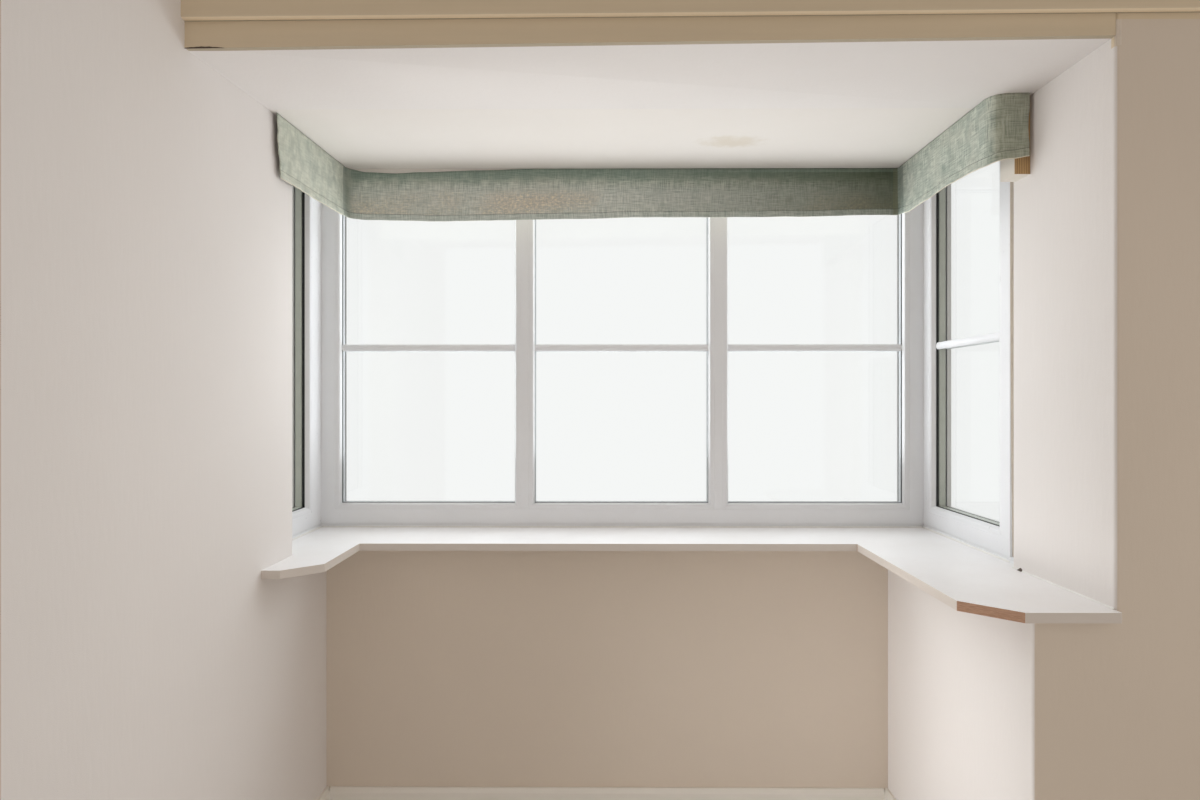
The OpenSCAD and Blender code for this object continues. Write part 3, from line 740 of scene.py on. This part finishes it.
for light in LIGHTS:
    stem = light.node.replace("_glass", "")
    add_piece(f"{stem}_gaskets", *gaskets(light), rubber, "white_plastic")
    spacer = front_spacer if light.side == "front" else shaded_side_spacer
    add_piece(f"{stem}_spacer", *spacer_frame(light), spacer, "white_plastic")
    if light.side != "left":
        add_piece(f"{stem}_glazing_bar", *glazing_bar(light), plastic, "white_plastic")


# Fabric pelmet

# Metres between the cloth's columns, and the thickness of the solid, of plain cloth and of a hem
CLOTH_STEP = 0.006
CLOTH_SOLID = 0.005
SINGLE = 0.0017
DOUBLE = 0.0029
BEND_STEPS = 8
BODY_ROWS = 18
# Heights of the seam's fold, the hem and the heading, the hem's width at both ends, and the radii of
# the bends in plan
FOLD = 0.002
HEM = 0.021
HEADING = 0.013
END_HEM = 0.022
LEFT_BEND = 0.030
RIGHT_BEND = 0.010
END_BEND = 0.055
# The cloth's materials by their number
PLAIN, HEMMED, SEAM, LINING_EDGE, LINING = range(5)
# Drop of the cloth below the ceiling at shares of its length, from its left end
DROPS = [(0.0, 0.168), (0.16, 0.166), (0.19, 0.172), (0.27, 0.177), (0.32, 0.174), (0.40, 0.170),
         (0.50, 0.164), (0.66, 0.163), (0.74, 0.157), (0.767, 0.158), (0.80, 0.167), (0.84, 0.166),
         (0.89, 0.162), (0.93, 0.164), (0.963, 0.172), (0.985, 0.165), (1.0, 0.158)]
# Dip of its top edge below the ceiling, at the same kind of shares
DIPS = [(0.0, 0.001), (0.168, 0.001), (0.19, 0.012), (0.22, 0.016), (0.245, 0.012),
        (0.316, 0.006), (0.37, 0.001), (1.0, 0.001)]


def between(table, share):
    """A value that runs smoothly through a short table of (share, value)."""
    for (a, low), (b, high) in zip(table, table[1:]):
        if share <= b:
            k = (share - a) / (b - a)
            k = k * k * (3 - 2 * k)
            return low + (high - low) * k
    return table[-1][1]


def bent_line(corners):
    """Points along a plan line of (x, y, bend radius) corners, with arcs at the bends."""
    points = [Vector(corners[0][:2])]
    for before, here, after in zip(corners, corners[1:], corners[2:]):
        middle, radius = Vector(here[:2]), here[2]
        u = (Vector(before[:2]) - middle).normalized()
        v = (Vector(after[:2]) - middle).normalized()
        half = u.angle(v) / 2
        start, end = middle + u * radius / math.tan(half), middle + v * radius / math.tan(half)
        for i in range(BEND_STEPS + 1):
            k = i / BEND_STEPS
            points.append(start * (1 - k) ** 2 + middle * 2 * k * (1 - k) + end * k * k)
    points.append(Vector(corners[-1][:2]))
    return points


class Line:
    """A plan line that can be asked for its point and outward side at any length along it."""

    def __init__(self, points):
        self.points = points
        self.marks = [0.0]
        for a, b in zip(points, points[1:]):
            self.marks.append(self.marks[-1] + (b - a).length)
        self.length = self.marks[-1]

    def at(self, s):
        s = min(max(s, 0.0), self.length)
        i = max(k for k, mark in enumerate(self.marks[:-1]) if mark <= s)
        a, b = self.points[i], self.points[i + 1]
        share = (s - self.marks[i]) / (self.marks[i + 1] - self.marks[i])
        return a.lerp(b, share)

    def side(self, s):
        d = (self.at(s + 0.004) - self.at(s - 0.004)).normalized()
        return Vector((-d.y, d.x))


def pelmet_line():
    """The fabric's room face in plan, from its left end to its right end, read from the solid."""
    lo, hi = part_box("pelmet")
    points = [v.co for v in nodes["pelmet"].data.vertices]
    front_y = hi.y - CLOTH_SOLID
    side_x = max(p.x for p in points if p.y > 0.5 * (lo.y + hi.y)) - CLOTH_SOLID
    left_end = min((p for p in points if p.x < 0), key=lambda p: p.y - 0.1 * p.x)
    return Line(bent_line([
        (left_end.x, left_end.y, 0), (-side_x, front_y, LEFT_BEND), (side_x, front_y, RIGHT_BEND),
        (side_x, lo.y, END_BEND), (hi.x, lo.y, 0),
    ]))


def cloth_shape(s, t, drop):
    """How far the cloth's middle stands out from its line, in metres, at length s and share t."""
    place = Vector((s * 7.0, t * 0.6, 3.7))
    wave = noise.noise(place) * 0.0045 * t + noise.noise(place * 3.1) * 0.0016 * t
    pucker = noise.noise(Vector((s * 46.0, t * 1.4, 9.1))) * 0.0009 * (0.25 + t)
    over_seam = (1 - t) * drop - HEM
    sewn = 0.0011 * math.exp(-((over_seam / 0.0035) ** 2))
    return 0.0022 + wave + pucker + sewn


def cloth_rows(tall):
    """Distances down from the cloth's top edge, through its heading, body, seam and hem."""
    top, low = HEADING + FOLD, tall - HEM
    body = [top + (low - FOLD - top) * k / BODY_ROWS for k in range(1, BODY_ROWS + 1)]
    hem = [low, low + FOLD, low + HEM * 0.35, low + HEM * 0.7, tall - 0.0015, tall]
    return [0.0, HEADING * 0.5, HEADING, top] + body + hem


def cloth_lean(u, t):
    """How far a point lies along from its place at share u: both ends of the cloth hang unevenly."""
    lean = 0.026 * t * (1 - u) ** 12 + 0.0035 * math.sin(t * 9.5) * (1 - u) ** 40
    lean += 0.0020 * math.sin(t * 27.0 + 0.6) * (1 - u) ** 70
    return lean + 0.0025 * math.sin(t * 7.0 + 1.0) * u ** 60


def cloth_column(line, i, columns):
    """The cloth's points at one length, top to bottom, on its room side and on its other side.

    On the short side runs the lining's edge hangs a little below the cloth.
    """
    u = i / columns
    dip = between(DIPS, u)
    tall = between(DROPS, u) + 0.0008 * noise.noise(Vector((u * 60, 0.3, 1.1))) - dip
    rows = cloth_rows(tall)
    in_end_hem = min(u, 1 - u) * line.length < END_HEM
    room_side, other_side = [], []
    for j, down in enumerate(rows):
        t = down / tall
        along = u * line.length + cloth_lean(u, t)
        if i == columns:
            along -= 0.0015
        at, out = line.at(along), line.side(along)
        middle = cloth_shape(along, t, tall)
        if down < HEADING + 0.012:
            middle = min(middle, 0.0030)
        thick = DOUBLE if in_end_hem or down < HEADING or down > tall - HEM else SINGLE
        last = j == len(rows) - 1
        if i in (0, columns) or j == 0 or last:
            thick *= 0.55
        z = CEILING_Z - 0.0006 - dip - down
        near, far = middle - thick / 2, middle + thick / 2
        room_side.append((at.x + out.x * near, at.y + out.y * near, z))
        if last and at.y < CLOTH_FRONT - 0.06:
            z -= 0.0020
        other_side.append((at.x + out.x * far, at.y + out.y * far, z))
    return room_side, other_side


def cloth_grid(line):
    """The cloth as a closed sheet: its corners, its faces and which material each face has."""
    columns = int(line.length / CLOTH_STEP)
    pairs = [cloth_column(line, i, columns) for i in range(columns + 1)]
    n = len(pairs[0][0])
    verts = [point for room_side, other_side in pairs for point in room_side]
    back = len(verts)
    verts += [point for room_side, other_side in pairs for point in other_side]
    faces, kinds = [], []
    for i in range(columns):
        edge = min(i, columns - 1 - i) * CLOTH_STEP
        for j in range(n - 1):
            a, b, c, d = i * n + j, (i + 1) * n + j, (i + 1) * n + j + 1, i * n + j + 1
            hemmed = j < 2 or j > n - 6 or edge < END_HEM - CLOTH_STEP
            faces.append([a, b, c, d])
            kinds.append(SEAM if j == n - 6 else HEMMED if hemmed else PLAIN)
            faces.append([back + d, back + c, back + b, back + a])
            kinds.append(LINING_EDGE if j == n - 2 else LINING)
    for i in range(columns):
        for j in (0, n - 1):
            a, b = i * n + j, (i + 1) * n + j
            faces.append([a, b, back + b, back + a] if j else [back + a, back + b, b, a])
            kinds.append(LINING_EDGE if j else HEMMED)
    for i in (0, columns):
        for j in range(n - 1):
            a, b = i * n + j, i * n + j + 1
            faces.append([back + a, back + b, b, a] if i else [a, b, back + b, back + a])
            kinds.append(HEMMED)
    return verts, faces, kinds


cloth_line = pelmet_line()
cloth_verts, cloth_faces, cloth_kinds = cloth_grid(cloth_line)
cloth = add_piece("pelmet_cloth", cloth_verts, cloth_faces, linen, "pelmet_cloth", smooth=True)
for more in (hem_linen, seam_shade_linen, lining_edge, lining):
    cloth.data.materials.append(more)
for face, kind in zip(cloth.data.polygons, cloth_kinds):
    face.material_index = kind
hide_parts("pelmet")


# Small pieces indoors

# Faces that the pieces lie on, and then the painted shade of the hole in the sealant and of the open
# joint under the band
BOARD_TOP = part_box("window_board")[1].z
STILE_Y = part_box("right_jambs")[0].y
FRAME_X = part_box("right_jambs")[0].x
REVEAL_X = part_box("header_band")[1].x
FILLER_EDGE = REVEAL_X + 0.0438
HOLE_AT = -0.707
HOLE_HALF = 0.010
HOLE_TALL = 0.0078
GAP_FROM = BEAM_END + 0.0005
GAP_RUN = 0.085
GAP_TALL = 0.0034


def add_stile_filler():
    """Filler between the right window and the wall, wide at its head and run out at its foot."""
    near, far = STILE_Y - 0.0018, STILE_Y + 0.0004
    rows = [(CEILING_Z - 0.0005, 1.0532), (1.75, 1.0534), (1.45, 1.0553), (1.20, 1.0572),
            (BOARD_TOP, 1.0598)]
    sections = []
    for z, left in rows:
        sections.append([(left, far, z), (left, STILE_Y - 0.0010, z), (left + 0.0012, near, z),
                         (FILLER_EDGE, near, z), (FILLER_EDGE, far, z)])
    add_piece("stile_filler", *loft(sections), wall_filler, "plaster")


def add_board_sealant():
    """White sealant between the board and the frames."""
    bead = [(0.0, 0.0), (0.0045, 0.0), (0.0030, 0.0011), (0.0011, 0.0030), (0.0, 0.0045)]
    left_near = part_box("left_jambs")[0].y
    front = prism([(-a, BOARD_TOP + b) for a, b in bead], -FRAME_X + 0.004, FRAME_X - 0.004, "X")
    right = prism([(FRAME_X - a, BOARD_TOP + b) for a, b in bead], STILE_Y + 0.002, -0.004, "Y")
    left = prism([(-FRAME_X + a, BOARD_TOP + b) for a, b in bead], left_near + 0.002, -0.004, "Y")
    add_piece("board_sealant", *join_parts([front, right, left]), sealant, "white_plastic")


def add_reveal_sealant():
    """A rough line of sealant between the board and the plaster of the reveal."""
    cracked = [(0.0, 0.0), (0.0038, 0.0), (0.0024, 0.0010), (0.0010, 0.0026), (0.0, 0.0036)]
    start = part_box("right_house_wall")[0].y + 0.004
    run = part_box("right_closing_strip")[0].y - 0.002 - start
    sections = []
    for k in range(41):
        y = start + run * k / 40
        fat = 1.0 + 0.30 * noise.noise(Vector((y * 40.0, 2.0, 5.0)))
        sections.append([(REVEAL_X - a * fat, y, BOARD_TOP + b * fat) for a, b in cracked])
    add_piece("reveal_sealant", *loft(sections), sealant, "white_plastic")


def add_sealant_hole():
    """A dark piece painted as the shade in the hole where the line of sealant along the plaster has
    broken away.
    """
    sections = []
    for k in range(13):
        t = -1 + k / 6
        y = HOLE_AT + HOLE_HALF * t
        rough = 1.0 + 0.25 * noise.noise(Vector((y * 900.0, 1.0, 1.0)))
        tall = HOLE_TALL * math.sqrt(max(0.02, 1 - t * t)) * rough
        outline = [(0.0001, 0.0002), (0.0050, 0.0002), (0.0042, 0.0018), (0.0014, tall * 0.8),
                   (0.0001, tall)]
        sections.append([(REVEAL_X - a, y, BOARD_TOP + b) for a, b in outline])
    add_piece("sealant_hole", *loft(sections), gap_shadow, "plaster")


def band_foot():
    """A function that gives the height of the old band's lower edge, which sags, along the window."""
    edge = {}
    for v in nodes["header_band"].data.vertices:
        if abs(v.co.y - BAND_FACE) < 0.002:
            key = round(v.co.x, 4)
            edge[key] = min(edge.get(key, 9.0), v.co.z)
    table = sorted(edge.items())

    def at(x):
        for (a, low), (b, high) in zip(table, table[1:]):
            if a <= x <= b:
                return low + (high - low) * (x - a) / (b - a)
        return table[0][1]
    return at


def add_band_gap():
    """A dark piece painted as the shade in the open joint under the left end of the old band."""
    foot_at = band_foot()
    near, far = BAND_FACE - 0.0005, BAND_FACE + 0.0004
    sections = []
    for k in range(25):
        t = k / 24
        x = GAP_FROM + GAP_RUN * t
        tall = GAP_TALL * math.sin(math.pi * min(1.0, 0.10 + 0.90 * t)) ** 0.8 + 0.0002
        tall *= 1.0 + 0.35 * noise.noise(Vector((x * 120.0, 4.0, 2.0)))
        low = foot_at(x) - 0.0006
        sections.append([(x, far, low), (x, near, low), (x, near, low + tall), (x, far, low + tall)])
    add_piece("band_joint_shadow", *loft(sections), gap_shadow, "plaster")


def add_band_end():
    """The band's rounded end, where the wall's corner runs up over it."""
    outline = [(0.0002, 0.0005), (0.0004, -0.0006), (0.0025, -0.0013), (0.0095, -0.0012),
               (0.0118, -0.0004), (0.0120, 0.0005)]
    rib = [(REVEAL_X + a, BAND_FACE + b) for a, b in outline]
    low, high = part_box("header_band")[0].z + 0.002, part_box("header_beam")[0].z - 0.001
    add_piece("band_end_corner", *prism(rib, low, high, "Z"), wall_filler, "plaster")


# Small pieces outdoors

# The side frames' outer face, and the height of the drainage caps
SIDE_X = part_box("right_rails")[1].x
CAP_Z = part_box("front_bottom_rail")[0].z + 0.018
CAP_HALF = 0.017
# Places of the caps along the front, the right side and the left side
FRONT_CAPS = (-0.86, -0.50, -0.18, 0.18, 0.50, 0.86)
RIGHT_CAPS = (-0.42, -0.18)
LEFT_CAPS = (-0.38, -0.16)
TRIM_HALF = 0.022
LAPS_AT = (-0.39, 0.39)
CLIPS_AT = (-0.90, -0.45, 0.0, 0.45, 0.90)
CLIP_HALF = 0.024
ROOF_LO, ROOF_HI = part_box("roof_covering")
ROOF_SLOPE = 0.0371
FLASHING_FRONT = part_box("roof_flashing")[1].y


def drainage_cap(u, out, along):
    """A hooded cap over a slot in a bottom rail's outer face."""
    hood = [(-0.0004, 0.0), (0.0034, 0.0), (0.0052, 0.0016), (0.0052, 0.0060), (0.0030, 0.0105),
            (-0.0004, 0.0118)]
    side = -1 if out < 0 else 1
    sections = []
    for share, size in ((-1.0, 0.80), (-0.93, 1.0), (0.93, 1.0), (1.0, 0.80)):
        spot = u + CAP_HALF * share
        row = [(out + side * a * size, CAP_Z + b * size) for a, b in hood]
        sections.append([(spot, v, z) if along == "X" else (v, spot, z) for v, z in row])
    return loft(sections)


def add_drainage_caps():
    caps = [drainage_cap(x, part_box("front_bottom_rail")[1].y, "X") for x in FRONT_CAPS]
    caps += [drainage_cap(y, SIDE_X, "Y") for y in RIGHT_CAPS]
    caps += [drainage_cap(y, -SIDE_X, "Y") for y in LEFT_CAPS]
    add_piece("drainage_caps", *join_parts(caps), plastic, "white_plastic")


def add_fascia_trims():
    """Cover trims over the corners and the middle joint of the fascia boards."""
    lo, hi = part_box("front_fascia")
    x, y = hi.xy
    low, high = lo.z + 0.0005, hi.z - 0.002
    angle = [(-0.0440, -0.0003), (-0.0435, 0.0013), (0.0002, 0.0016), (0.0016, 0.0002),
             (0.0013, -0.0435), (-0.0003, -0.0440), (-0.0003, -0.0003)]
    corner = prism([(x + a, y + b) for a, b in angle], low, high, "Z")
    strip = [(-TRIM_HALF, -0.0003), (-TRIM_HALF + 0.0008, 0.0012), (0.0, 0.0017),
             (TRIM_HALF - 0.0008, 0.0012), (TRIM_HALF, -0.0003)]
    joint = prism([(a, y + b) for a, b in strip], low, high, "Z")
    trims = join_parts([corner, mirrored(corner), joint])
    add_piece("fascia_trims", *trims, sill_plastic, "white_plastic")


def roof_z(y):
    """Height of the roof covering's upper face at a depth."""
    return ROOF_HI.z - (y - ROOF_LO.y) * ROOF_SLOPE


def roof_lap(x):
    """The thick edge of one sheet lapped over the next, from under the flashing to the front."""
    start, end = FLASHING_FRONT - 0.01, ROOF_HI.y - 0.001
    sections = []
    for k in range(25):
        y = start + (end - start) * k / 24
        wander = 0.0015 * noise.noise(Vector((y * 9.0, x, 1.0)))
        outline = [(wander - 0.050, -0.0010), (wander - 0.049, 0.0030), (-0.040, 0.0036),
                   (0.045, 0.0012), (0.050, -0.0010)]
        sections.append([(x + a, y, roof_z(y) + b) for a, b in outline])
    return loft(sections)


def add_roof_laps():
    add_piece("roof_laps", *join_parts([roof_lap(x) for x in LAPS_AT]), felt, "roof_felt")


def add_flashing_clips():
    """Lead clips that hold the flashing down."""
    z = roof_z(FLASHING_FRONT)
    outline = [(-0.0320, 0.0050), (-0.0310, 0.0076), (0.0030, 0.0066), (0.0042, 0.0052),
               (0.0040, -0.0002), (0.0012, -0.0002)]
    edge = [(FLASHING_FRONT + a, z + b) for a, b in outline]
    clips = [prism(edge, x - CLIP_HALF, x + CLIP_HALF, "X") for x in CLIPS_AT]
    add_piece("flashing_clips", *join_parts(clips), lead, "lead")


def add_outer_sealant():
    """Sealant in the corners between the side frames and the render."""
    low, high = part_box("right_jambs")[0].z + 0.001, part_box("front_fascia")[0].z - 0.001
    bead = [(-0.0002, -0.0002), (0.0060, -0.0002), (0.0042, 0.0018), (0.0018, 0.0042),
            (-0.0002, 0.0060)]
    right_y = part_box("right_closing_strip")[0].y
    left_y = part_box("left_cheek_wall")[1].y
    right = prism([(SIDE_X + a, right_y + b) for a, b in bead], low, high, "Z")
    left = prism([(-SIDE_X - a, left_y + b) for a, b in bead], low, high, "Z")
    add_piece("outer_sealant", *join_parts([right, left]), sealant, "white_plastic")


add_stile_filler()
add_board_sealant()
add_reveal_sealant()
add_sealant_hole()
add_band_gap()
add_band_end()
add_drainage_caps()
add_fascia_trims()
add_roof_laps()
add_flashing_clips()
add_outer_sealant()


# Stage: floor, backdrop, lamps and camera

FLOOR_REACH = 60.0
FADE_NEAR = 2.5
FADE_FAR = 8.0
FADE_LEAST = 0.30
# Share of the way outwards over which the plain light turns from the room's to the sky's
ROOM_UNTIL = -0.3
SKY_FROM = 0.5


def seen_rays(m):
    """1 for camera, mirror and see-through rays, which show the backdrop, and 0 for the rest."""
    path = m.new("LightPath").outputs
    total = m.math("ADD", path["Is Camera Ray"], path["Is Glossy Ray"], clamp=True)
    return m.math("ADD", total, path["Is Transmission Ray"], clamp=True)


def stage_floor():
    """A plain floor that fades into the backdrop far from the part."""
    m = Nodes("floor")
    x, y = m.axes()[:2]
    far = m.math("POWER", m.plus(m.times(x, x), m.times(y, y)), 0.5)
    fade = m.span(far, FADE_NEAR, FADE_FAR, FADE_LEAST, 1.0, smooth=True)
    m.set(Base_Color=FLOOR, Roughness=0.9)
    m.end_with(m.times(fade, seen_rays(m)), m.shader, m.new("Emission", BACKDROP))
    mesh = bpy.data.meshes.new("floor")
    corners = [(-1, -1), (1, -1), (1, 1), (-1, 1)]
    mesh.from_pydata([(FLOOR_REACH * a, FLOOR_REACH * b, 0) for a, b in corners], [], [(0, 1, 2, 3)])
    mesh.materials.append(m.material)
    floor = bpy.data.objects.new("floor", mesh)
    floor.location.z = -0.0005
    bpy.context.scene.collection.objects.link(floor)


def backdrop_world():
    """Plain light all round, warmer from the room's side, behind an even backdrop."""
    world = bpy.data.worlds.new("studio")
    bpy.context.scene.world = world
    m = Tree(world, "OutputWorld")
    way = m.new("SeparateXYZ", m.new("TexCoord").outputs["Generated"]).outputs
    tint = m.mix(m.span(way[1], ROOM_UNTIL, SKY_FROM), AMBIENT_ROOM, AMBIENT_OUT)
    light = m.new("Background", tint, AMBIENT_STRENGTH)
    m.end_with(seen_rays(m), light, m.new("Background", BACKDROP, 1.0))


def softbox(name, at, to, size, power, colour, spread):
    """An area lamp that no camera or mirror ray sees."""
    lamp = bpy.data.lights.new(name, "AREA")
    lamp.spread = math.radians(spread)
    lamp.shape = "RECTANGLE"
    lamp.size, lamp.size_y = size
    lamp.energy = power
    lamp.color = colour
    obj = bpy.data.objects.new(name, lamp)
    obj.location = at
    obj.rotation_euler = (Vector(to) - Vector(at)).to_track_quat("-Z", "Y").to_euler()
    obj.visible_camera = False
    obj.visible_glossy = False
    bpy.context.scene.collection.objects.link(obj)


# Name, place, aim, size, watts, colour and spread in degrees of each lamp
LAMPS = [
    ("window_side", (-1.6, 4.2, 3.4), (0.0, -0.3, 1.3), (4.0, 3.0), 60.0, (1.0, 1.0, 1.0), 180),
    ("board_bounce", (0.0, -0.60, 1.05), (0.0, -0.60, 2.0), (1.9, 0.7), 0.32, (1.0, 0.99, 0.98), 90),
    ("sky_light", (0.0, -0.45, 2.02), (0.0, -0.45, 1.0), (1.7, 0.5), 0.34, (1.0, 1.0, 1.0), 110),
    ("low_fill", (0.2, -3.6, 0.7), (0.0, -0.2, 0.5), (2.6, 0.8), 3.0, (1.0, 0.92, 0.84), 180),
    ("cheek_fill", (-0.75, -0.72, 0.48), (1.0, -0.72, 0.48), (0.5, 0.7), 1.7, (0.97, 0.99, 1.0), 60),
    ("reveal_fill", (-0.80, -0.86, 1.95), (1.0, -0.86, 1.95), (0.3, 0.3), 0.35, (1.0, 0.99, 0.97), 60),
    ("right_fill", (2.4, -1.6, 1.4), (-1.0, -1.3, 1.3), (1.2, 1.6), 3.2, (1.0, 0.98, 0.95), 100),
]


def front_daylight():
    """Daylight that starts between the panes of the front lights, so it shines on the room alone."""
    left, right = LIGHTS[0], LIGHTS[2]
    low, high = left.z0 + DAYLIGHT_LIFT, left.z1 - DAYLIGHT_EDGE
    at = left.place(0.0, DAYLIGHT_DEPTH, 0.5 * (low + high))
    to = left.place(0.0, -2.0, 0.5 * (low + high))
    size = (right.u1 - left.u0 - 2 * DAYLIGHT_EDGE, high - low)
    softbox("front_daylight", at, to, size, DAYLIGHT_WATTS, DAYLIGHT_COLOUR, 180)


stage_floor()
backdrop_world()
for lamp in LAMPS:
    softbox(*lamp)
front_daylight()

camera_data = bpy.data.cameras.new("camera")
camera_data.lens = CAMERA_LENS
camera_data.sensor_width = CAMERA_SENSOR
camera = bpy.data.objects.new("camera", camera_data)
camera.location = CAMERA_AT
camera.rotation_euler = (math.pi / 2, 0, CAMERA_YAW)
bpy.context.scene.collection.objects.link(camera)
bpy.context.scene.camera = camera
bpy.context.scene.view_settings.view_transform = "Standard"
